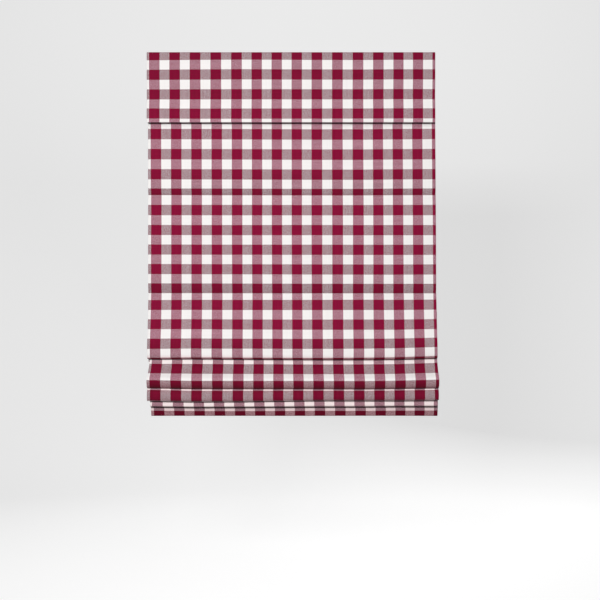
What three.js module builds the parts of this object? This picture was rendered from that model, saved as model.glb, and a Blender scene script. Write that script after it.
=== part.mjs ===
// A roman shade of woven check cotton, drawn part way up, with a flat valance before its head.
// Millimetres, +Z up and +X to the right. The front of the cloth looks along -Y.
// The origin is over the middle of the shade's head, level with the top of the valance.
//
// Each cloth is a line in its side section, given a thickness and carried across its width.
// In the section a lean is the way the cloth runs, in degrees from straight down: 90 is forwards,
// -90 is backwards and -180 is straight up.

import * as THREE from 'three';

// Driving dimensions
const CLOTH = 1.0;
const SHADE_WIDTH = 735;
const VALANCE_WIDTH = 732;
const VALANCE_OFFSET = -0.8;
const SEAT_GAP = 0.3;

// How finely the shapes are drawn: strips across the width, and steps in each kind of stretch.
const STRIPS_ACROSS = 8;
const STEPS = {
  straight: 1, panel: 5, footOfPanel: 3, legOfFold: 4, bendOfFold: 6, lastPanel: 5,
  sideOfTuck: 2, endOfTuck: 5, entryOfTuck: 2, creaseOfSeam: 4,
  cornerOfValance: 4, frontOfValance: 3, sideOfHem: 3, turnOfHem: 5,
};

// The valance: a flap that turns back at the top, level above the head of the shade, hangs
// before it and has a hem turned up behind.
const VALANCE = {
  forward: 26,
  railHeight: -62,
  hollowForward: 22.5,
  hollowHeight: -110,
  bottomForward: 27,
  bottomHeight: -177.8,
  cornerRadius: 3,
  hemHeight: 26,
};

// The tucks that hold the rods behind the cloth: how deep they are, how far apart the middles of
// their two layers lie at the seam, and the radius of the rounded end.
const TUCK = {
  depth: 31, neck: 1.6, endRadius: 2.1, entryRadius: 3, creaseRadius: 0.9, creaseStart: 1,
};

// A place on the way down a section, and how the cloth runs there.
const place = (forward, height, lean) => ({ forward, height, lean });

// The flat panels above the folds. Each stands furthest forward a little above its foot, and
// ends at a seam, whose tuck hangs down behind.
const HEAD = place(0, -CLOTH - SEAT_GAP, 0);
const HEAD_FLAT = place(0, -62, 0);
const PANELS = {
  top: { full: place(4.5, -314, 0), seam: place(0.6, -358.5, -24), tuckLean: -38, leaveLean: 6 },
  middle: { full: place(8, -564, 0), seam: place(3.2, -611, -24), tuckLean: -38, leaveLean: 6 },
};
const PANEL_PULL = 0.3;
const FOLD_PULL = 0.36;

// The folds of the raised part, from the top. Each runs down through its places, turns under at
// the last one and rises behind to a seam, whose tuck stands up behind the fold. Sag is how much
// lower the fold hangs at mid width than at its ends, and drift how far it stands to the right.
const FOLDS = {
  first: {
    places: [place(15.5, -700, 8), place(24, -752, 0), place(21.1, -774.3, -36)],
    turnRadius: 4.8, returnLean: -174, seam: place(2, -692, -179), sag: 1.8, drift: 3.0,
  },
  second: {
    places: [
      place(10.5, -788, 22), place(26.5, -813, 41), place(42.3, -832, 0), place(32.4, -851.6, -62),
    ],
    turnRadius: 4.5, returnLean: -168, seam: place(-1, -780, -178), sag: 1.9, drift: 4.3,
  },
  third: {
    places: [place(21.5, -852, 28), place(30.8, -871.5, 2), place(27.6, -883.3, -48)],
    turnRadius: 4, returnLean: -164, seam: place(-14, -746.5, -178), sag: 0.8, drift: 3.8,
  },
  fourth: {
    places: [place(7, -876, 22), place(15, -898.8, 2)],
    turnRadius: 4.2, returnLean: -173, seam: place(-20, -818, -177), sag: 0.3, drift: 6.8,
  },
};

// The hem at the very bottom, which swings back towards its foot. The valance's hem turns with
// the same radius.
const HEM = { top: place(-6.5, -892, 0), foot: place(-14, -926, -22), radius: 1.1, drift: 7.5 };

// Slow waves across the width, which grow from nothing above the first seam.
const WAVES = { start: -300, full: -790, depth: 1.4, length: 520, slant: 0.004 };

// The way the cloth runs at a lean.
function stepAt(lean) {
  const angle = THREE.MathUtils.degToRad(lean);
  return new THREE.Vector2(Math.sin(angle), -Math.cos(angle));
}

// A quarter turn to the left of a direction in the section.
function leftOf(direction) {
  return new THREE.Vector2(-direction.y, direction.x);
}

// Draws a section as a line of points, the way a pen would.
class Pen {
  constructor(start) {
    this.points = [new THREE.Vector2(start.forward, start.height)];
    this.lean = start.lean;
  }

  get at() {
    return this.points[this.points.length - 1];
  }

  ahead(distance) {
    this.points.push(this.at.clone().addScaledVector(stepAt(this.lean), distance));
  }

  // A smooth run to a place.
  runTo(end, parts, pull = FOLD_PULL) {
    const target = new THREE.Vector2(end.forward, end.height);
    const handle = this.at.distanceTo(target) * pull;
    const leaving = this.at.clone().addScaledVector(stepAt(this.lean), handle);
    const arriving = target.clone().addScaledVector(stepAt(end.lean), -handle);
    const curve = new THREE.CubicBezierCurve(this.at.clone(), leaving, arriving, target);
    this.points.push(...curve.getPoints(parts).slice(1));
    this.lean = end.lean;
  }

  // A round turn to a new lean.
  turn(radius, lean, parts) {
    const side = Math.sign(lean - this.lean) * radius;
    const centre = this.at.clone().addScaledVector(leftOf(stepAt(this.lean)), side);
    const first = this.lean;
    for (let part = 1; part <= parts; part += 1) {
      const now = first + ((lean - first) * part) / parts;
      this.points.push(centre.clone().addScaledVector(leftOf(stepAt(now)), -side));
    }
    this.lean = lean;
  }
}

// A tuck from where the pen stands: out at a lean, round its end and back beside itself. It
// stops a little before the seam where a crease follows.
function tuck(pen, lean, depth, stopBefore) {
  const mouth = pen.at.clone();
  const out = stepAt(lean);
  const aside = leftOf(out);
  const end = mouth.clone().addScaledVector(out, depth - TUCK.endRadius);
  end.addScaledVector(aside, TUCK.neck / 2 - TUCK.endRadius);
  pen.runTo(place(end.x, end.y, lean), STEPS.sideOfTuck);
  pen.turn(TUCK.endRadius, lean + 180, STEPS.endOfTuck);
  const back = mouth.clone().addScaledVector(aside, TUCK.neck).addScaledVector(out, stopBefore);
  pen.runTo(place(back.x, back.y, lean + 180), STEPS.sideOfTuck);
}

// A seam of a hanging panel: its tuck leans down behind, and the next panel comes out below it.
function hangingSeam(pen, panel) {
  pen.turn(TUCK.entryRadius, panel.tuckLean, STEPS.entryOfTuck);
  tuck(pen, panel.tuckLean, TUCK.depth - TUCK.entryRadius, TUCK.creaseStart);
  pen.turn(TUCK.creaseRadius, panel.leaveLean, STEPS.creaseOfSeam);
}

// One fold of the raised part, from the seam above it to the far side of its own tuck. Gives
// the number of the point where it turns under.
function fold(pen, row) {
  for (const next of row.places) {
    pen.runTo(next, STEPS.legOfFold);
  }
  const under = pen.points.length - 1;
  pen.turn(row.turnRadius, row.returnLean, STEPS.bendOfFold);
  pen.runTo(row.seam, STEPS.legOfFold);
  tuck(pen, row.seam.lean, TUCK.depth, 0);
  return under;
}

// The lower end of a cloth: it runs down to the top of its hem and on to the foot, turns under
// there and comes up behind.
function hem(pen, top, foot, parts) {
  pen.runTo(top, parts);
  const edge = pen.at.clone().addScaledVector(leftOf(stepAt(top.lean)), -2 * HEM.radius);
  pen.runTo(foot, STEPS.sideOfHem);
  pen.turn(HEM.radius, foot.lean - 180, STEPS.turnOfHem);
  pen.runTo(place(edge.x, edge.y, top.lean - 180), STEPS.sideOfHem);
}

// The shade's section, and pairs that say how far its side edges stand to the right at a point.
function shadeSection() {
  const pen = new Pen(HEAD);
  const drifts = [[0, 0]];
  pen.runTo(HEAD_FLAT, STEPS.straight);
  for (const panel of Object.values(PANELS)) {
    pen.runTo(panel.full, STEPS.panel, PANEL_PULL);
    pen.runTo(panel.seam, STEPS.footOfPanel);
    hangingSeam(pen, panel);
  }
  for (const row of Object.values(FOLDS)) {
    drifts.push([fold(pen, row), row.drift]);
  }
  hem(pen, HEM.top, HEM.foot, STEPS.lastPanel);
  drifts.push([pen.points.length - 1, HEM.drift]);
  return { points: pen.points, drifts };
}

function valanceSection() {
  const backEdge = CLOTH / 2 + SEAT_GAP;
  const pen = new Pen(place(backEdge, -CLOTH / 2, 90));
  pen.ahead(VALANCE.forward - VALANCE.cornerRadius - backEdge);
  pen.turn(VALANCE.cornerRadius, 0, STEPS.cornerOfValance);
  pen.runTo(place(VALANCE.forward, VALANCE.railHeight, 0), STEPS.straight);
  pen.runTo(place(VALANCE.hollowForward, VALANCE.hollowHeight, 0), STEPS.frontOfValance);
  const foot = place(VALANCE.bottomForward, VALANCE.bottomHeight, 0);
  hem(pen, place(foot.forward, foot.height + VALANCE.hemHeight, 0), foot, STEPS.frontOfValance);
  return pen.points;
}

// A value read off a table of [key, value] pairs whose keys rise.
function readTable(pairs, key) {
  if (key <= pairs[0][0]) return pairs[0][1];
  for (let row = 1; row < pairs.length; row += 1) {
    const [before, from] = pairs[row - 1];
    const [after, to] = pairs[row];
    if (key <= after) return THREE.MathUtils.mapLinear(key, before, after, from, to);
  }
  return pairs[pairs.length - 1][1];
}

// How far the cloth hangs below its even place: most at mid width, by the height of the folds.
function sagAt(across, height) {
  const rows = Object.values(FOLDS).map((row) => [row.turnRadius - row.places.at(-1).height, row.sag]);
  const table = [[-PANELS.middle.seam.height, 0], ...rows, [-HEM.foot.height, 0]];
  const share = 1 - (2 * across) ** 2;
  return readTable(table, -height) * share;
}

// How far a slow wave carries the cloth forwards.
function waveAt(x, height) {
  const growth = THREE.MathUtils.smoothstep(-height, -WAVES.start, -WAVES.full);
  const turns = x / WAVES.length + height * WAVES.slant;
  return WAVES.depth * growth * Math.sin(2 * Math.PI * turns);
}

// The two faces of a cloth in its section: half its thickness to each side of its middle line.
function faces(points) {
  const rims = { front: [], back: [] };
  points.forEach((point, index) => {
    const before = points[Math.max(index - 1, 0)];
    const after = points[Math.min(index + 1, points.length - 1)];
    const arriving = index === 0 ? after.clone().sub(point) : point.clone().sub(before);
    const leaving = index === points.length - 1 ? arriving.clone() : after.clone().sub(point);
    const one = leftOf(arriving.normalize());
    const other = leftOf(leaving.normalize());
    const corner = one.clone().add(other).normalize();
    const reach = CLOTH / 2 / corner.dot(one);
    rims.front.push(point.clone().addScaledVector(corner, reach));
    rims.back.push(point.clone().addScaledVector(corner, -reach));
  });
  return rims;
}

// Carries a section across a width as one closed body. The rim runs down the front face and up
// the back one, and spot says where a rim point lies at each station across.
function carriedAcross(points, spot) {
  const { front, back } = faces(points);
  const rim = [...front, ...back.slice().reverse()];
  const rows = points.length;
  const positions = [];
  const indices = [];
  for (let station = 0; station <= STRIPS_ACROSS; station += 1) {
    const across = station / STRIPS_ACROSS - 0.5;
    rim.forEach((point, index) => {
      const along = index < rows ? index : 2 * rows - 1 - index;
      positions.push(...spot(across, point, along).toArray());
    });
  }
  const quad = (a, b, c, d) => indices.push(a, b, c, a, c, d);
  for (let station = 0; station < STRIPS_ACROSS; station += 1) {
    const here = station * rim.length;
    const next = here + rim.length;
    for (let index = 0; index < rim.length; index += 1) {
      const following = (index + 1) % rim.length;
      quad(here + index, here + following, next + following, next + index);
    }
  }
  const last = STRIPS_ACROSS * rim.length;
  for (let row = 0; row < rows - 1; row += 1) {
    const opposite = rim.length - 1 - row;
    quad(row, opposite, opposite - 1, row + 1);
    quad(last + row, last + row + 1, last + opposite - 1, last + opposite);
  }
  const geometry = new THREE.BufferGeometry();
  geometry.setAttribute('position', new THREE.Float32BufferAttribute(positions, 3));
  geometry.setIndex(indices);
  geometry.computeVertexNormals();
  return geometry;
}

// The shade: one length of cloth from its head to its hem, its side edges drifting to the right.
function shadeGeometry() {
  const { points, drifts } = shadeSection();
  return carriedAcross(points, (across, point, along) => {
    const x = across * SHADE_WIDTH;
    const forward = point.x + waveAt(x, point.y);
    const height = point.y - sagAt(across, point.y);
    return new THREE.Vector3(x + readTable(drifts, along), -forward, height);
  });
}

function valanceGeometry() {
  return carriedAcross(valanceSection(), (across, point) => {
    const x = across * VALANCE_WIDTH + VALANCE_OFFSET;
    return new THREE.Vector3(x, -point.x, point.y);
  });
}

function clothMaterial() {
  return new THREE.MeshStandardMaterial({ color: 0xb08a94, roughness: 0.9, metalness: 0 });
}

function piece(name, geometry) {
  const mesh = new THREE.Mesh(geometry, clothMaterial());
  mesh.name = name;
  return mesh;
}

const romanShade = new THREE.Group();
romanShade.add(piece('shade', shadeGeometry()));
romanShade.add(piece('valance', valanceGeometry()));

export default romanShade;
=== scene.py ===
import math

import bpy
import numpy as np
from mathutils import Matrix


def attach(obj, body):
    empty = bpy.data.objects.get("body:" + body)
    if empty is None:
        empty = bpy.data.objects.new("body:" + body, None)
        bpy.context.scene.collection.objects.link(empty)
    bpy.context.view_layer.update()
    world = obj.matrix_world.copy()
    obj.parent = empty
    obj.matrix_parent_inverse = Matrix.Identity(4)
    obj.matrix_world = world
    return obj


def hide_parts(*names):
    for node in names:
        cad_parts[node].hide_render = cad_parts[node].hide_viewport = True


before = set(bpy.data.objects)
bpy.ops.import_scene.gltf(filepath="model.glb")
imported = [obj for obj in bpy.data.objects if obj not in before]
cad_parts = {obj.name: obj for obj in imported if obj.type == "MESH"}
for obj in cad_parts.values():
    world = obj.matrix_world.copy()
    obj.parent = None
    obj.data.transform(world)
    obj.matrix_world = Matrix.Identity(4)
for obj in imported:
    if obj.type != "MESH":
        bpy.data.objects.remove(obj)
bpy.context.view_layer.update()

# A roman shade of woven check cotton, drawn part way up, with a flat valance before its head.
# Lengths are millimetres until a mesh is made. In a side section a point is (forward, height),
# and a lean is the way the cloth runs, in degrees from straight down: 90 is forwards, -90 is
# backwards and -180 is straight up. Along is the length of cloth from its upper edge.
MM = 0.001

# Cloth
CLOTH = 0.5
LAYER_GAP = 0.15
SHADE_WIDTH = 735.0
VALANCE_WIDTH = 732.0
VALANCE_OFFSET = -0.8
SIDE_HEM = 25.0

# The side section of the valance
VALANCE = dict(
    forward=26.0, back_edge=0.8, rail_height=-62.0, hollow_forward=22.5, hollow_height=-110.0,
    bottom_forward=27.0, bottom_height=-177.2, corner_radius=3.0, hem_height=26.0,
)

# The side section of the shade. A place is (forward, height, lean). Each panel is fullest a
# little above its seam, and each fold runs through its places and turns under at the last one.
HEAD = (0.0, -1.3, 0)
HEAD_FLAT = (0.0, -62.0, 0)
TUCK = dict(depth=31.0, neck=0.8, end_radius=2.1, entry_radius=1.6, crease_radius=0.9, crease_start=0.6)
PANELS = [
    dict(name="top", full=(4.5, -314.0, 0), seam=(0.6, -358.5, -24), tuck=-38, leave=6),
    dict(name="middle", full=(8.0, -564.0, 0), seam=(3.2, -611.0, -24), tuck=-38, leave=6),
]
PANEL_PULL = 0.3
FOLD_PULL = 0.36
FOLDS = [
    dict(name="first", places=[(15.5, -700.0, 8), (24.0, -752.0, 0), (21.1, -774.3, -36)],
         radius=4.8, back=-174, seam=(2.0, -692.0), tuck=-179),
    dict(name="second",
         places=[(10.5, -788.0, 22), (26.5, -813.0, 41), (42.3, -832.0, 0), (32.4, -851.6, -62)],
         radius=4.5, back=-168, seam=(-1.0, -780.0), tuck=-178),
    dict(name="third", places=[(23.3, -852.0, 26), (30.8, -871.5, 2), (27.6, -883.3, -48)],
         radius=4.0, back=-164, seam=(-14.0, -746.5), tuck=-178),
    dict(name="fourth", places=[(7.0, -876.0, 22), (15.0, -898.8, 2)],
         radius=4.2, back=-173, seam=(-20.0, -818.0), tuck=-177),
]
HEM = dict(top=(-3.5, -892.0, 0), foot=(-12.0, -926.0, -24), radius=1.1)

# Places across the cloths, from their middle, at which the uneven tables give values
UNEVEN_AT = [-358.0, -255.0, -126.0, 54.0, 183.0, 260.0, 363.0]

# How far the side edges of the shade stand to the right of their even place
EDGES = [
    dict(at="head", left=0.0, right=0.0),
    dict(at="top seam", left=1.2, right=1.4),
    dict(at="middle seam", left=1.8, right=2.4),
    dict(at="first 2", left=1.5, right=4.0),
    dict(at="first seam", left=3.5, right=4.6),
    dict(at="second 1", left=6.0, right=5.2),
    dict(at="second 2", left=3.6, right=5.6),
    dict(at="second 3", left=2.4, right=5.7),
    dict(at="third 2", left=1.6, right=6.1),
    dict(at="fourth 2", left=7.5, right=5.6),
    dict(at="hem", left=7.0, right=8.2),
]

# The folds hang a little unevenly: how far below their even height they are at places across
DROPS = [
    dict(height=-611.0, drop=[0.0, 0.0, 0.0, 0.0, 0.0, 0.0, 0.0]),
    dict(height=-776.0, drop=[2.4, 1.9, 3.1, 4.2, 3.9, 3.5, 0.5]),
    dict(height=-852.0, drop=[-0.7, 1.2, 1.4, 1.8, 2.1, 1.0, -0.7]),
    dict(height=-884.0, drop=[0.8, 2.2, 1.6, -0.6, -0.5, -0.5, -1.5]),
    dict(height=-903.0, drop=[-2.5, -1.4, -2.0, -2.7, -2.7, -3.6, -3.8]),
    dict(height=-926.0, drop=[0.2, 0.2, 0.0, 0.0, 0.0, 0.0, 0.2]),
]

# Slow waves across the width, which grow from nothing above the first seam
WAVES = dict(start=-300.0, full=-790.0, depth=1.4, length=520.0, slant=0.004)

# The woven check: a column is one colour's width, a row one colour's height. A row start is
# where a burgundy row would begin, counted on from the head. A table's row names a mark on the
# side section, and above says how far before that mark it lies, along the cloth.
COLUMN = 25.71
ROW = 25.3
COLUMN_START = -359.1
VALANCE_COLUMN_START = -358.2
VALANCE_ROW = 24.95
VALANCE_ROW_START = 18.4
ROW_STARTS = [
    dict(at="head", start=35.4),
    dict(at="top full", start=41.5),
    dict(at="top seam", start=39.3),
    dict(at="top tuck done", start=42.0),
    dict(at="middle full", above=126, start=43.5),
    dict(at="middle full", start=42.3),
    dict(at="middle seam", start=40.3),
    dict(at="middle tuck done", start=43.9),
    dict(at="first 1", start=41.6),
    dict(at="first 2", start=38.6),
    dict(at="first 3", start=36.6),
    dict(at="first seam", start=38.6),
    dict(at="second 1", start=42.3),
    dict(at="second 2", start=46.0),
    dict(at="second 3", start=44.0),
    dict(at="second 4", start=44.0),
    dict(at="third 1", start=45.6),
    dict(at="third 3", start=46.6),
    dict(at="fourth 2", start=47.2),
    dict(at="hem", start=47.3),
]

# Whole checks that are added before the first one, so that every yarn has a number above zero
CHECKS_BEFORE = 40

# The check isn't quite even in the cloth: how far right its columns and how far down its rows
# lie at the places across.
SHADE_UNEVEN = [
    dict(at="head", right=[-1.3, 0.0, 1.0, -0.7, 1.7, 0.6, -2.6],
         down=[-0.6, -0.4, -0.1, 0.5, 0.5, 0.1, -0.8]),
    dict(at="top seam", right=[-0.6, 0.0, 0.8, -1.4, 1.8, 0.5, -1.6],
         down=[-0.6, -0.4, -0.1, 0.6, 0.6, -0.3, -0.7]),
    dict(at="middle full", above=126, right=[0.0, 0.1, 0.6, -2.0, 1.9, 0.3, -0.8],
         down=[-0.2, 0.0, 0.1, 0.0, 0.2, 0.0, 0.0]),
    dict(at="middle full", right=[-0.2, 0.0, 0.9, -1.8, 1.4, 0.4, -0.7],
         down=[-0.9, -0.5, -0.2, 0.3, 0.6, 0.8, 0.2]),
    dict(at="middle seam", right=[-0.4, 0.0, 1.1, -1.7, 1.0, 0.6, -0.6],
         down=[-0.6, -0.5, -0.2, 0.4, 0.2, 0.3, 0.6]),
    dict(at="middle tuck done", right=[-0.5, 0.0, 1.3, -1.7, 0.8, 0.7, -0.6],
         down=[0.9, 0.3, 0.2, 0.0, -0.6, -0.3, -0.6]),
    dict(at="first 1", right=[-0.7, 0.0, 1.5, -1.6, 0.5, 0.9, -0.7],
         down=[-0.6, -0.3, 0.0, -0.1, 0.0, 0.4, 0.3]),
    dict(at="first 2", right=[-0.8, 0.0, 1.6, -1.5, 0.4, 1.0, -0.7],
         down=[1.6, 1.1, 0.4, 0.0, -0.6, -1.3, -1.8]),
    dict(at="second 1", right=[-2.5, -1.9, 0.9, -2.7, -2.1, -0.5, -0.6],
         down=[0.0, 0.4, 0.2, 0.0, -0.3, -0.3, -0.7]),
    dict(at="second 2", right=[-1.5, 0.0, 2.3, -1.5, -1.0, -0.5, -1.3],
         down=[-0.3, 0.3, 0.2, 0.0, -0.2, -0.1, -0.5]),
    dict(at="second 3", right=[-0.5, 2.0, 3.8, -0.4, -0.3, -0.8, -1.4],
         down=[0.1, 0.6, 0.2, -0.1, -0.1, -0.1, -0.8]),
    dict(at="second 4", right=[-0.4, 2.2, 4.0, 0.0, 0.2, -0.7, -1.0],
         down=[0.5, 0.9, 0.2, -0.3, -0.1, 0.0, -1.2]),
    dict(at="third 2", right=[-0.2, 0.9, 2.6, -0.9, -0.6, -1.7, -3.0],
         down=[-0.3, 0.1, 0.0, 0.0, 0.0, 0.1, -0.2]),
    dict(at="fourth 2", right=[-2.8, 0.8, 1.2, 0.0, -0.2, -1.1, -3.6],
         down=[-0.3, 0.0, 0.2, 0.0, 0.1, 0.1, -0.2]),
    dict(at="hem", right=[-0.4, 0.2, 1.9, 0.5, 2.3, 2.0, -2.8],
         down=[-0.4, 0.0, 0.3, 0.0, 0.3, 0.2, -0.3]),
]
VALANCE_UNEVEN = [
    dict(at="face", right=[-1.2, -1.0, 1.9, -0.5, 1.2, 1.3, -2.6],
         down=[1.4, 0.1, -0.8, 0.1, 0.5, -0.3, -0.1]),
    dict(at="hem", right=[-1.2, -1.0, 1.9, -0.5, 1.2, 1.3, -2.6],
         down=[-0.5, 0.3, 0.2, 0.1, -0.3, -0.5, -0.6]),
]

# Mesh fineness
FINE_STEP = 0.4
LONGEST_ROW = 8.5
SHARPEST_BEND = math.radians(20)
COLUMNS_ACROSS = 84
HEM_COLUMNS = 3
EDGE_TURN_STEPS = 4
NORMAL_REACH = 0.4
SHARP_EDGE = math.radians(50)


def read_lists(places, lists, at, across):
    """The value between the lists whose places are given, each read at the places across."""
    stack = np.stack([np.interp(across, UNEVEN_AT, values) for values in lists])
    between = np.interp(at, places, range(len(places)))
    before = np.minimum(between.astype(int), len(places) - 2)
    share = between - before
    index = np.indices(between.shape)
    return stack[(before, *index)] * (1 - share) + stack[(before + 1, *index)] * share


def step_at(lean):
    angle = math.radians(lean)
    return np.array([math.sin(angle), -math.cos(angle)])


def left_of(direction):
    return np.array([-direction[1], direction[0]])


class Pen:
    """Draws a side section as a fine line of points, and marks places on it by name."""

    def __init__(self, forward, height, lean):
        self.points = [np.array([forward, height], float)]
        self.lean = lean
        self.marks = {}

    def mark(self, name):
        self.marks[name] = len(self.points) - 1

    def ahead(self, distance):
        count = max(1, round(distance / FINE_STEP))
        start = self.points[-1]
        way = step_at(self.lean)
        self.points += [start + way * distance * part / count for part in range(1, count + 1)]

    def run_to(self, place, pull=FOLD_PULL):
        lean = place[2]
        start, end = self.points[-1], np.array(place[:2], float)
        span = np.linalg.norm(end - start)
        leaving = start + step_at(self.lean) * span * pull
        arriving = end - step_at(lean) * span * pull
        count = max(2, round(span / FINE_STEP))
        for part in range(1, count + 1):
            t = part / count
            u = 1 - t
            self.points.append(
                u**3 * start + 3 * u * u * t * leaving + 3 * u * t * t * arriving + t**3 * end
            )
        self.lean = lean

    def turn(self, radius, lean):
        side = math.copysign(radius, lean - self.lean)
        centre = self.points[-1] + left_of(step_at(self.lean)) * side
        first = self.lean
        count = max(6, round(abs(math.radians(lean - first)) * radius / FINE_STEP))
        for part in range(1, count + 1):
            now = first + (lean - first) * part / count
            self.points.append(centre - left_of(step_at(now)) * side)
        self.lean = lean


class Section:
    """A side section, read by the length of cloth along it."""

    def __init__(self, pen):
        self.points = np.array(pen.points)
        steps = np.linalg.norm(np.diff(self.points, axis=0), axis=1)
        self.along = np.concatenate([[0.0], np.cumsum(steps)])
        self.length = self.along[-1]
        self.marks = {name: self.along[index] for name, index in pen.marks.items()}

    def at(self, along):
        forward = np.interp(along, self.along, self.points[:, 0])
        height = np.interp(along, self.along, self.points[:, 1])
        return forward, height

    def stations(self):
        """Rows for a mesh, close together where the section bends."""
        ways = np.diff(self.points, axis=0)
        angles = np.unwrap(np.arctan2(ways[:, 0], -ways[:, 1]))
        bends = np.abs(np.diff(angles, prepend=angles[0]))
        effort = np.cumsum(np.diff(self.along) / LONGEST_ROW + bends / SHARPEST_BEND)
        effort = np.concatenate([[0.0], effort])
        count = math.ceil(effort[-1])
        return np.interp(np.linspace(0, effort[-1], count + 1), effort, self.along)

    def table(self, rows, column):
        """The places and values of a table whose rows name marks."""
        places = [self.marks[row["at"]] - row.get("above", 0) for row in rows]
        return places, [row[column] for row in rows]

    def uneven(self, rows, column, across, along):
        """A table of lists, read at places along and across the cloth."""
        return read_lists(*self.table(rows, column), along, across)


def draw_tuck(pen, lean, depth, stop_before, name):
    mouth = pen.points[-1]
    out = step_at(lean)
    aside = left_of(out)
    end = mouth + out * (depth - TUCK["end_radius"]) + aside * (TUCK["neck"] / 2 - TUCK["end_radius"])
    pen.mark(name + " seam")
    pen.run_to((*end, lean))
    pen.turn(TUCK["end_radius"], lean + 180)
    pen.run_to((*(mouth + aside * TUCK["neck"] + out * stop_before), lean + 180))
    pen.mark(name + " tuck done")


def draw_fold(pen, row):
    name = row["name"]
    for number, place in enumerate(row["places"], 1):
        pen.run_to(place)
        pen.mark(f"{name} {number}")
    pen.turn(row["radius"], row["back"])
    pen.run_to((*row["seam"], row["tuck"]))
    draw_tuck(pen, row["tuck"], TUCK["depth"], 0, name)


def draw_hem(pen, top, foot):
    pen.run_to(top)
    edge = pen.points[-1] - left_of(step_at(top[2])) * 2 * HEM["radius"]
    pen.run_to(foot)
    pen.mark("hem")
    pen.turn(HEM["radius"], foot[2] - 180)
    pen.run_to((*edge, top[2] - 180))


def shade_section():
    pen = Pen(*HEAD)
    pen.mark("head")
    pen.run_to(HEAD_FLAT)
    for panel in PANELS:
        pen.run_to(panel["full"], PANEL_PULL)
        pen.mark(panel["name"] + " full")
        pen.run_to(panel["seam"])
        pen.turn(TUCK["entry_radius"], panel["tuck"])
        depth = TUCK["depth"] - TUCK["entry_radius"]
        draw_tuck(pen, panel["tuck"], depth, TUCK["crease_start"], panel["name"])
        pen.turn(TUCK["crease_radius"], panel["leave"])
    for row in FOLDS:
        draw_fold(pen, row)
    draw_hem(pen, HEM["top"], HEM["foot"])
    return Section(pen)


def valance_section():
    pen = Pen(VALANCE["back_edge"], -CLOTH / 2, 90)
    pen.ahead(VALANCE["forward"] - VALANCE["corner_radius"] - VALANCE["back_edge"])
    pen.turn(VALANCE["corner_radius"], 0)
    pen.mark("face")
    pen.run_to((VALANCE["forward"], VALANCE["rail_height"], 0))
    pen.run_to((VALANCE["hollow_forward"], VALANCE["hollow_height"], 0))
    foot = (VALANCE["bottom_forward"], VALANCE["bottom_height"], 0)
    draw_hem(pen, (foot[0], foot[1] + VALANCE["hem_height"], 0), foot)
    return Section(pen)


SHADE = shade_section()
VALANCE_LINE = valance_section()


def drop_at(across, height):
    """How far the cloth hangs below its even place, by height and place across."""
    heights = [-row["height"] for row in DROPS]
    return read_lists(heights, [row["drop"] for row in DROPS], -height, across)


def wave_at(x, height):
    growth = np.clip((WAVES["start"] - height) / (WAVES["start"] - WAVES["full"]), 0, 1)
    growth = growth * growth * (3 - 2 * growth)
    turns = x / WAVES["length"] + height * WAVES["slant"]
    return WAVES["depth"] * growth * np.sin(2 * math.pi * turns)


def shade_place(across, along):
    """The middle of the shade's cloth, for arrays of places across and along it."""
    forward, height = SHADE.at(along)
    share = across / SHADE_WIDTH
    across, along = np.broadcast_arrays(across, along)
    left = np.interp(along, *SHADE.table(EDGES, "left"))
    right = np.interp(along, *SHADE.table(EDGES, "right"))
    x = across + left + (right - left) * (share + 0.5)
    forward = forward + wave_at(across, height)
    return np.stack([x, -forward, height - drop_at(across, height)], axis=-1)


def valance_place(across, along):
    forward, height = VALANCE_LINE.at(along)
    x = across + VALANCE_OFFSET + np.zeros_like(along)
    return np.stack([x, -forward, height + np.zeros_like(across)], axis=-1)


def front_normals(place, across, along, length):
    """Unit normals of a cloth on its front side."""
    side = place(across + NORMAL_REACH, along) - place(across - NORMAL_REACH, along)
    after = np.minimum(along + NORMAL_REACH, length)
    before = np.maximum(along - NORMAL_REACH, 0.0)
    down = place(across, after) - place(across, before)
    normal = np.cross(down, side)
    return normal / np.linalg.norm(normal, axis=-1, keepdims=True)


def ribbon(width):
    """The cloth across its width with both side hems turned behind: where its middle line lies
    (across, off the front layer), which way its outer face looks, and the place on the cut cloth."""
    drop = CLOTH + LAYER_GAP
    radius = drop / 2
    edge = width / 2 - radius - CLOTH / 2
    inner = width / 2 - SIDE_HEM
    rows = []
    roll = radius * math.pi
    for share in np.linspace(0, 1, HEM_COLUMNS + 1)[:-1]:
        place = inner + (edge - inner) * share
        rows.append((-place, -drop, 0.0, -1.0, -(2 * edge + roll - place)))
    for turn in np.linspace(0, math.pi, EDGE_TURN_STEPS + 1)[:-1]:
        out, up = math.sin(turn), -math.cos(turn)
        rows.append((-edge - out * radius, -radius + up * radius, -out, up, -edge - roll + radius * turn))
    half = [(place, 0.0, 0.0, 1.0, place) for place in np.linspace(-edge, edge, COLUMNS_ACROSS + 1)]
    mirrored = [(-a, off, -out, up, -cut) for a, off, out, up, cut in reversed(rows)]
    return np.array(rows + half + mirrored)


def cloth_points(strip, along, place, length):
    """The points of a cloth's front and back face, by row, layer and column, in millimetres."""
    across_grid, along_grid = np.meshgrid(strip[:, 0], along)
    middle = place(across_grid, along_grid)
    normals = front_normals(place, across_grid, along_grid, length)
    sides = np.zeros_like(normals)
    sides[..., 0] = 1.0
    layers = []
    for face in (CLOTH / 2, -CLOTH / 2):
        off = strip[:, 1] + strip[:, 3] * face
        out = strip[:, 2] * face
        layers.append(middle + normals * off[None, :, None] + sides * out[None, :, None])
    return np.stack(layers, axis=1)


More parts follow.
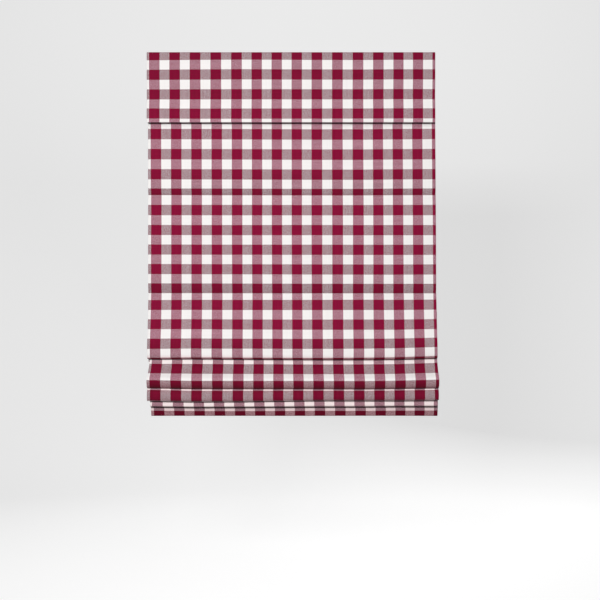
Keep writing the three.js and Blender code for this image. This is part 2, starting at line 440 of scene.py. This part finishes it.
def sheet_faces(rows, columns):
    """The faces of a closed sheet whose points run by row, layer and column."""

    def number(row, layer, column):
        return (row * 2 + layer) * columns + column

    def quads(corners, turned):
        return np.stack(corners[::-1] if turned else corners, axis=1)

    faces = []
    row, column = np.meshgrid(np.arange(rows - 1), np.arange(columns - 1), indexing="ij")
    row, column = row.ravel(), column.ravel()
    for layer in (0, 1):
        corners = [number(row, layer, column), number(row + 1, layer, column),
                   number(row + 1, layer, column + 1), number(row, layer, column + 1)]
        faces.append(quads(corners, layer == 1))
    down = np.arange(rows - 1)
    for column, turned in ((0, True), (columns - 1, False)):
        corners = [number(down, 0, column), number(down + 1, 0, column),
                   number(down + 1, 1, column), number(down, 1, column)]
        faces.append(quads(corners, turned))
    over = np.arange(columns - 1)
    for row, turned in ((0, False), (rows - 1, True)):
        corners = [number(row, 0, over), number(row, 0, over + 1),
                   number(row, 1, over + 1), number(row, 1, over)]
        faces.append(quads(corners, turned))
    return np.concatenate(faces)


def add_checks(mesh, strip, along, checks):
    """The place of every point in the woven check, in columns and rows."""
    cut_grid, along_grid = np.meshgrid(strip[:, 4], along)
    place = np.stack(checks(cut_grid, along_grid), axis=-1)
    place = np.stack([place, place], axis=1).reshape(-1, 2)
    layer = mesh.uv_layers.new(name="cloth")
    loops = np.zeros(len(mesh.loops), int)
    mesh.loops.foreach_get("vertex_index", loops)
    layer.data.foreach_set("uv", place[loops].ravel())


def add_painted_shade(mesh, strip, painted_shade_by_row):
    """The painted shade of every point, which stands in for shadow and for light held back by cloth
    behind. The back of a cloth and its side hems have none.
    """
    on_front = np.concatenate([strip[:, 1] > -LAYER_GAP, np.zeros(len(strip))])
    painted_shade = mesh.attributes.new("painted_shade", "FLOAT", "POINT")
    painted_shade.data.foreach_set("value", np.outer(painted_shade_by_row, on_front).ravel())


def cloth_mesh(name, section, place, width, checks, painted_shade_rows):
    """One closed sheet with its side hems, as a mesh in metres."""
    strip = ribbon(width)
    along = section.stations()
    points = cloth_points(strip, along, place, section.length).reshape(-1, 3) * MM
    mesh = bpy.data.meshes.new(name)
    mesh.from_pydata(points.tolist(), [], sheet_faces(len(along), len(strip)).tolist())
    add_checks(mesh, strip, along, checks)
    # painted shade, read along the cloth from its table
    add_painted_shade(mesh, strip, np.interp(along, *section.table(painted_shade_rows, "painted_shade")))
    mesh.polygons.foreach_set("use_smooth", [True] * len(mesh.polygons))
    mesh.set_sharp_from_angle(angle=SHARP_EDGE)
    mesh.update()
    return mesh


def shade_checks(cut, along):
    start = np.interp(along, *SHADE.table(ROW_STARTS, "start"))
    right = SHADE.uneven(SHADE_UNEVEN, "right", cut, along)
    down = SHADE.uneven(SHADE_UNEVEN, "down", cut, along)
    u = (cut - right - COLUMN_START) / COLUMN + CHECKS_BEFORE
    return u, (along - down - start) / ROW + CHECKS_BEFORE


def valance_checks(cut, along):
    right = VALANCE_LINE.uneven(VALANCE_UNEVEN, "right", cut, along)
    down = VALANCE_LINE.uneven(VALANCE_UNEVEN, "down", cut, along)
    u = (cut - right - VALANCE_COLUMN_START) / COLUMN + CHECKS_BEFORE
    return u, (along - down - VALANCE_ROW_START) / VALANCE_ROW + CHECKS_BEFORE


# Colours of the yarns, as albedo in linear light
BURGUNDY = (0.217, 0.003, 0.032)
WHITE = (0.835, 0.806, 0.796)
PINK = (0.53, 0.34, 0.41)
GREY = (0.50, 0.485, 0.496)
YARNS_PER_CHECK = 44.0
BURGUNDY_REACH = 0.518
YARN_CONTRAST = 0.6
YARN_RISE = 0.12
YARN_BUMP = 0.25
STREAK = 0.34
STREAK_IN_WHITE = 0.06
STREAKS_ACROSS_CHECK = 9.0
STREAKS_ALONG_CHECK = 0.12

# Painted shade: where cloth lies close behind the front layer no light comes through, so the dye is
# painted deeper to stand in for it. Under the feet of the folds the same darkening stands in for their
# shadow. Deep in the stack the pale yarns are painted with some of the burgundy, a painted tint for light
# bounced between the folds. The painted shade is 0 where the cloth hangs free and 1 where it is darkest.
SHADED_BURGUNDY = (0.12, 0.001, 0.013)
SHADED_PINK = (0.50, 0.34, 0.39)
SHADED_TINTED_WHITE = (0.86, 0.68, 0.68)
SHADED_TINTED_GREY = (0.60, 0.38, 0.41)
PAINTED_TINT_FROM = 0.5
# Painted shade along the shade's cloth: deepest above each seam, at the feet of the folds and down
# through the stack
SHADE_CLOTH_PAINTED_SHADE = [
    dict(at="head", painted_shade=0.05),
    dict(at="top seam", above=70, painted_shade=0.05),
    dict(at="top seam", above=40, painted_shade=0.24),
    dict(at="top seam", above=26, painted_shade=0.48),
    dict(at="top seam", painted_shade=0.48),
    dict(at="top tuck done", painted_shade=0.24),
    dict(at="top tuck done", above=-8, painted_shade=0.0),
    dict(at="middle seam", above=60, painted_shade=0.05),
    dict(at="middle seam", above=36, painted_shade=0.24),
    dict(at="middle seam", above=24, painted_shade=0.48),
    dict(at="middle seam", painted_shade=0.48),
    dict(at="middle tuck done", painted_shade=0.24),
    dict(at="middle tuck done", above=-8, painted_shade=0.0),
    dict(at="first 2", above=36, painted_shade=0.05),
    dict(at="first 2", painted_shade=0.43),
    dict(at="first 3", above=8, painted_shade=0.5),
    dict(at="first 3", painted_shade=1.0),
    dict(at="first seam", painted_shade=1.0),
    dict(at="second 1", painted_shade=0.67),
    dict(at="second 2", above=18, painted_shade=0.4),
    dict(at="second 2", painted_shade=0.3),
    dict(at="second 2", above=-4, painted_shade=0.0),
    dict(at="second 3", above=4, painted_shade=0.0),
    dict(at="second 3", painted_shade=0.65),
    dict(at="second 4", painted_shade=1.0),
    dict(at="third 1", painted_shade=1.0),
    dict(at="third 1", above=-8, painted_shade=0.6),
    dict(at="third 2", painted_shade=0.5),
    dict(at="third 3", above=6, painted_shade=0.55),
    dict(at="third 3", painted_shade=0.85),
    dict(at="fourth 2", above=12, painted_shade=0.8),
    dict(at="fourth 2", painted_shade=0.8),
    dict(at="fourth 2", above=-4, painted_shade=1.0),
    dict(at="hem", painted_shade=1.0),
    dict(at="hem", above=-4, painted_shade=0.0),
]
# Painted shade on the valance: strongest at the top of its face, fading towards its hem
VALANCE_PAINTED_SHADE = [
    dict(at="face", painted_shade=0.34),
    dict(at="face", above=-100, painted_shade=0.24),
    dict(at="hem", painted_shade=0.05),
]


class Nodes:
    """Short ways to add and join shader nodes."""

    def __init__(self, material):
        material.use_nodes = True
        self.tree = material.node_tree
        self.shader = self.tree.nodes["Principled BSDF"]

    def add(self, kind, **values):
        node = self.tree.nodes.new(kind)
        for key, value in values.items():
            setattr(node, key, value)
        return node

    def join(self, source, socket):
        if hasattr(source, "is_output"):
            self.tree.links.new(source, socket)
        else:
            socket.default_value = source

    def math(self, operation, *values):
        node = self.add("ShaderNodeMath", operation=operation)
        for socket, value in zip(node.inputs, values):
            self.join(value, socket)
        return node.outputs[0]

    def noise(self, place, scale, **values):
        node = self.add("ShaderNodeTexNoise", **values)
        self.join(place, node.inputs["Vector"])
        self.join(scale, node.inputs["Scale"])
        return node.outputs[0]

    def scale(self, colour, gain):
        node = self.add("ShaderNodeVectorMath", operation="SCALE")
        self.join(colour, node.inputs[0])
        self.join(gain, node.inputs["Scale"])
        return node.outputs[0]

    def beyond_burgundy(self, checks):
        """1 in the white checks and 0 in the burgundy ones, which are a little the wider."""
        from_middle = self.math("PINGPONG", self.math("SUBTRACT", checks, 0.5), 1.0)
        return self.math("GREATER_THAN", from_middle, BURGUNDY_REACH)

    def mix(self, share, first, second):
        node = self.add("ShaderNodeMix", data_type="RGBA")
        inputs = {socket.identifier: socket for socket in node.inputs}
        self.join(share, inputs["Factor_Float"])
        self.join(first if hasattr(first, "is_output") else (*first, 1), inputs["A_Color"])
        self.join(second if hasattr(second, "is_output") else (*second, 1), inputs["B_Color"])
        return next(o for o in node.outputs if o.identifier == "Result_Color")


def woven_colour(nodes, warp, weft, white_column, white_row):
    """The colour of the yarn on top, warp or weft by turns, blended a little with the other, then
    darkened and tinted by the painted shade.
    """
    # painted shade darkens the dyed yarns, and past its middle it tints the pale ones, for shadow and
    # bounced light
    painted_shade = nodes.add("ShaderNodeAttribute", attribute_name="painted_shade").outputs["Fac"]
    painted_tint = nodes.math("DIVIDE", nodes.math("SUBTRACT", painted_shade, PAINTED_TINT_FROM), 1 - PAINTED_TINT_FROM)
    burgundy = nodes.mix(painted_shade, BURGUNDY, SHADED_BURGUNDY)
    pink = nodes.mix(painted_shade, PINK, SHADED_PINK)
    white = nodes.mix(painted_tint, WHITE, SHADED_TINTED_WHITE)
    grey = nodes.mix(painted_tint, GREY, SHADED_TINTED_GREY)
    warp_colour = nodes.mix(white_column, burgundy, nodes.mix(white_row, grey, white))
    weft_colour = nodes.mix(white_row, burgundy, nodes.mix(white_column, pink, white))
    cells = nodes.math("ADD", nodes.math("FLOOR", warp), nodes.math("FLOOR", weft))
    weft_on_top = nodes.math("MODULO", cells, 2.0)
    share = nodes.math("MULTIPLY_ADD", weft_on_top, YARN_CONTRAST, (1 - YARN_CONTRAST) / 2)
    return nodes.mix(share, warp_colour, weft_colour)


def streak_gain(nodes, place, white_row, white_column):
    """Streaks along the yarns. In the mixed checks those of the dyed yarns show the most."""
    gain = 1.0
    down_streaks = (STREAKS_ACROSS_CHECK, STREAKS_ALONG_CHECK, 1)
    over_streaks = (STREAKS_ALONG_CHECK, STREAKS_ACROSS_CHECK, 1)
    for stretch, white in ((down_streaks, white_row), (over_streaks, white_column)):
        stretched = nodes.add("ShaderNodeVectorMath", operation="MULTIPLY")
        nodes.join(place, stretched.inputs[0])
        nodes.join(stretch, stretched.inputs[1])
        noise = nodes.noise(stretched.outputs[0], 1.0, noise_dimensions="2D")
        streak = nodes.math("SUBTRACT", noise, 0.5)
        strength = nodes.math("MULTIPLY_ADD", white, STREAK_IN_WHITE - STREAK, STREAK)
        gain = nodes.math("MULTIPLY_ADD", streak, strength, gain)
    return gain


def yarn_bump(nodes, warp, weft):
    """Yarns rise across their own width, and dip where they pass under."""
    across_warp = nodes.math("SINE", nodes.math("MULTIPLY", nodes.math("FRACT", warp), math.pi))
    across_weft = nodes.math("SINE", nodes.math("MULTIPLY", nodes.math("FRACT", weft), math.pi))
    bump = nodes.add("ShaderNodeBump")
    bump.inputs["Strength"].default_value = YARN_BUMP
    bump.inputs["Distance"].default_value = YARN_RISE * MM
    nodes.join(nodes.math("MULTIPLY", across_warp, across_weft), bump.inputs["Height"])
    return bump.outputs[0]


def cloth_material(name):
    material = bpy.data.materials.new(name)
    nodes = Nodes(material)
    place = nodes.add("ShaderNodeUVMap", uv_map="cloth").outputs[0]
    split = nodes.add("ShaderNodeSeparateXYZ")
    nodes.join(place, split.inputs[0])
    u, v = split.outputs[0], split.outputs[1]
    white_column = nodes.beyond_burgundy(u)
    white_row = nodes.beyond_burgundy(v)
    warp = nodes.math("MULTIPLY", u, YARNS_PER_CHECK)
    weft = nodes.math("MULTIPLY", v, YARNS_PER_CHECK)
    colour = woven_colour(nodes, warp, weft, white_column, white_row)
    shaded = nodes.scale(colour, streak_gain(nodes, place, white_row, white_column))
    nodes.join(shaded, nodes.shader.inputs["Base Color"])
    nodes.join(yarn_bump(nodes, warp, weft), nodes.shader.inputs["Normal"])
    nodes.shader.inputs["Roughness"].default_value = 0.88
    nodes.shader.inputs["Specular IOR Level"].default_value = 0.1
    nodes.shader.inputs["Sheen Weight"].default_value = 0.04
    nodes.shader.inputs["Sheen Roughness"].default_value = 0.5
    return material


# The sewing on the backs of the cloths: small stitches in rows, each a bar with sloping ends.
# The side hems' rows start below the head, where the cloth of the valance has turned down.
STITCH = dict(length=2.6, pitch=3.3, width=0.5, height=0.24, sunk=0.05, taper=0.6)
STRAIGHT_ENOUGH = 0.93
STITCHED_FROM = dict(shade=8.0, valance=30.0)
THREAD = (0.50, 0.40, 0.42)
TWISTS_A_METRE = 900.0
TWIST_CONTRAST = 0.5
FROM_HEM_EDGE = 2.0
FROM_TUCK_MOUTH = 3.5
FROM_SIDE_EDGE = 4.0


def stitches_down(width, first, last):
    """Places of the stitches that hold both side hems, as across, along and off the cloth."""
    along = np.arange(first, last, STITCH["pitch"])
    inner = width / 2 - SIDE_HEM + FROM_HEM_EDGE
    across = np.repeat([-inner, inner], len(along))
    off = np.full(len(across), -(CLOTH * 1.5 + LAYER_GAP))
    return np.stack([across, np.tile(along, 2), off], axis=-1)


def stitches_over(width, along, side):
    """Places of a row of stitches across a cloth, on its front side, 1, or its back, -1."""
    reach = width / 2 - FROM_SIDE_EDGE
    across = np.arange(-reach, reach, STITCH["pitch"])
    layers = np.abs(across) > width / 2 - SIDE_HEM
    thickness = np.where(layers & (side < 0), CLOTH * 1.5 + LAYER_GAP, CLOTH / 2)
    return np.stack([across, np.full(len(across), along), side * thickness], axis=-1)


def stitch_points(place, length, spots, run):
    """The eight corners of each stitch. Run is how far a stitch reaches across and along."""
    across, along, off = spots.T
    half = STITCH["length"] / 2
    end = place(across + run[0] * half, along + run[1] * half)
    start = place(across - run[0] * half, along - run[1] * half)
    kept = np.linalg.norm(end - start, axis=-1) > STRAIGHT_ENOUGH * STITCH["length"]
    across, along, off, start, end = across[kept], along[kept], off[kept], start[kept], end[kept]
    out = front_normals(place, across, along, length) * np.sign(off)[:, None]
    way = (end - start) / np.linalg.norm(end - start, axis=-1, keepdims=True)
    aside = np.cross(out, way)
    base = place(across, along) + out * (np.abs(off) - STITCH["sunk"])[:, None]
    corners = []
    for level, share in ((0.0, 1.0), (STITCH["height"], STITCH["taper"])):
        long_half = way * share * half
        wide_half = aside * share * STITCH["width"] / 2
        for ahead, beside in ((-1, -1), (1, -1), (1, 1), (-1, 1)):
            corners.append(base + out * level + long_half * ahead + wide_half * beside)
    return np.stack(corners, axis=1)


def stitches_mesh(name, groups):
    """All stitches of a cloth as one mesh in metres, six faces a stitch."""
    points = np.concatenate(groups)
    sides = [(0, 3, 2, 1), (4, 5, 6, 7), (0, 1, 5, 4), (1, 2, 6, 5), (2, 3, 7, 6), (3, 0, 4, 7)]
    firsts = 8 * np.arange(len(points))
    faces = firsts[:, None, None] + np.array(sides)
    mesh = bpy.data.meshes.new(name)
    mesh.from_pydata((points.reshape(-1, 3) * MM).tolist(), [], faces.reshape(-1, 4).tolist())
    mesh.update()
    return mesh


def sewing(section, place, width, first):
    """Every stitch of a cloth: its side hems, the mouths of its tucks and its lower hem."""
    across_way, down_way = (1, 0), (0, 1)
    last = section.marks["hem"] - FROM_HEM_EDGE
    groups = [(stitches_down(width, first, last), down_way)]
    rows = [(section.length - FROM_HEM_EDGE, 1)]
    for name, along in section.marks.items():
        if name.endswith("seam"):
            rows.append((along + FROM_TUCK_MOUTH, -1))
        if name.endswith("tuck done"):
            rows.append((along - FROM_TUCK_MOUTH, -1))
    groups += [(stitches_over(width, along, side), across_way) for along, side in rows]
    return [stitch_points(place, section.length, spots, run) for spots, run in groups]


def thread_material():
    material = bpy.data.materials.new("thread")
    nodes = Nodes(material)
    place = nodes.add("ShaderNodeTexCoord").outputs["Object"]
    twist = nodes.noise(place, TWISTS_A_METRE)
    gain = nodes.math("MULTIPLY_ADD", twist, TWIST_CONTRAST, 1 - TWIST_CONTRAST / 2)
    nodes.join(nodes.scale(THREAD, gain), nodes.shader.inputs["Base Color"])
    nodes.shader.inputs["Roughness"].default_value = 0.6
    nodes.shader.inputs["Specular IOR Level"].default_value = 0.3
    return material


def add_piece(name, mesh, material, node):
    piece = bpy.data.objects.new(name, mesh)
    bpy.context.scene.collection.objects.link(piece)
    mesh.materials.append(material)
    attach(piece, "root")
    if node:
        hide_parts(node)
    return piece


CLOTHS = [
    dict(name="shade", section=SHADE, place=shade_place, width=SHADE_WIDTH, checks=shade_checks,
         painted_shade_rows=SHADE_CLOTH_PAINTED_SHADE, rests_on="valance_cloth"),
    dict(name="valance", section=VALANCE_LINE, place=valance_place, width=VALANCE_WIDTH,
         checks=valance_checks, painted_shade_rows=VALANCE_PAINTED_SHADE, rests_on="shade_cloth"),
]


def add_cloth(row, thread):
    name, section, place, width = row["name"], row["section"], row["place"], row["width"]
    slot = name + "_cloth"
    mesh = cloth_mesh(slot, section, place, width, row["checks"], row["painted_shade_rows"])
    cloth = add_piece(slot, mesh, cloth_material(name + "_check"), name)
    seams = sewing(section, place, width, STITCHED_FROM[name])
    stitches = stitches_mesh(name + "_stitches", seams)
    sewn = add_piece(name + "_stitches", stitches, thread, None)


def add_cloths():
    thread = thread_material()
    for row in CLOTHS:
        add_cloth(row, thread)


# The stage: a round pale studio with a curved foot, open above
STAGE_CENTRE = (0.0, -2.0)
FLOOR_HEIGHT = -1.75
STAGE_RADIUS = 7.5
STAGE_CURVE = 2.0
STAGE_TOP = 4.5
STAGE_GLOW = 0.34
STAGE_PAINT = (0.84, 0.84, 0.84, 1)
CURVE_STEPS = 12
STAGE_SIDES = 96


def stage_outline():
    """Distances from the stage's middle and heights, from the edge of the flat floor upwards."""
    flat_radius = STAGE_RADIUS - STAGE_CURVE
    outline = [(flat_radius, FLOOR_HEIGHT)]
    for turn in np.linspace(0, math.pi / 2, CURVE_STEPS + 1)[1:]:
        radius = flat_radius + STAGE_CURVE * math.sin(turn)
        outline.append((radius, FLOOR_HEIGHT + STAGE_CURVE - STAGE_CURVE * math.cos(turn)))
    outline.append((STAGE_RADIUS, STAGE_TOP))
    return outline


def stage_mesh():
    rings = stage_outline()
    points, faces = [], []
    for radius, height in rings:
        for part in range(STAGE_SIDES):
            angle = 2 * math.pi * part / STAGE_SIDES
            x = STAGE_CENTRE[0] + radius * math.cos(angle)
            y = STAGE_CENTRE[1] + radius * math.sin(angle)
            points.append((x, y, height))
    for ring in range(len(rings) - 1):
        low, high = ring * STAGE_SIDES, (ring + 1) * STAGE_SIDES
        for part in range(STAGE_SIDES):
            after = (part + 1) % STAGE_SIDES
            faces.append((low + part, high + part, high + after, low + after))
    faces.append(tuple(range(STAGE_SIDES)))
    mesh = bpy.data.meshes.new("studio")
    mesh.from_pydata(points, [], faces)
    mesh.polygons.foreach_set("use_smooth", [True] * len(mesh.polygons))
    return mesh


def add_stage():
    mesh = stage_mesh()
    studio = bpy.data.objects.new("studio", mesh)
    bpy.context.scene.collection.objects.link(studio)
    material = bpy.data.materials.new("studio_paint")
    nodes = Nodes(material)
    nodes.shader.inputs["Base Color"].default_value = STAGE_PAINT
    nodes.shader.inputs["Roughness"].default_value = 1.0
    nodes.shader.inputs["Specular IOR Level"].default_value = 0.0
    nodes.shader.inputs["Emission Color"].default_value = (1, 1, 1, 1)
    nodes.shader.inputs["Emission Strength"].default_value = STAGE_GLOW
    mesh.materials.append(material)
    studio.visible_diffuse = False


# The lights: a small key lamp and a wide fill before the shade, a soft lamp behind it, and one
# for the backdrop alone
PART_MIDDLE = (0, 0, -0.46)
LIGHTS = [
    dict(name="key", place=(-0.35, -2.45, -0.1), target=(0, 0, -1.1), size=(0.36, 0.2), power=57.5),
    dict(name="fill", place=(0.7, -3.0, 0.6), target=PART_MIDDLE, size=(1.2, 0.7), power=14.5),
    dict(name="rear", place=(1.5, 3.8, 0.4), target=PART_MIDDLE, size=(2.4, 2.0), power=34),
    dict(name="backdrop", place=(0.0, 0.9, 2.6), target=(0, 4.6, -0.9), size=(3.4, 1.2), power=110),
]
SKY_STRENGTH = 0.1


def add_light(name, place, target, size, power):
    lamp = bpy.data.lights.new(name, "AREA")
    lamp.shape = "RECTANGLE"
    lamp.size, lamp.size_y = size
    lamp.energy = power
    light = bpy.data.objects.new(name, lamp)
    light.location = place
    way = np.array(target, float) - np.array(place, float)
    flat = math.hypot(way[0], way[1])
    light.rotation_euler = (math.atan2(flat, -way[2]), 0, math.atan2(-way[0], way[1]))
    light.visible_camera = False
    bpy.context.scene.collection.objects.link(light)


def add_lights():
    for row in LIGHTS:
        add_light(**row)
    world = bpy.context.scene.world or bpy.data.worlds.new("sky")
    bpy.context.scene.world = world
    world.use_nodes = True
    background = world.node_tree.nodes["Background"]
    background.inputs["Color"].default_value = (1, 1, 1, 1)
    background.inputs["Strength"].default_value = SKY_STRENGTH


# The camera: level, before the shade and a little to its right
CAMERA_PLACE = (0.0221, -2.7, -0.6289)
FRAME_WIDTH = 1.536
SENSOR = 36.0


def add_camera():
    data = bpy.data.cameras.new("camera")
    data.sensor_width = SENSOR
    data.lens = SENSOR * -CAMERA_PLACE[1] / FRAME_WIDTH
    camera = bpy.data.objects.new("camera", data)
    camera.location = CAMERA_PLACE
    camera.rotation_euler = (math.pi / 2, 0, 0)
    bpy.context.scene.collection.objects.link(camera)
    bpy.context.scene.camera = camera


bpy.context.scene.view_settings.view_transform = "Standard"
add_camera()
add_cloths()
add_stage()
add_lights()
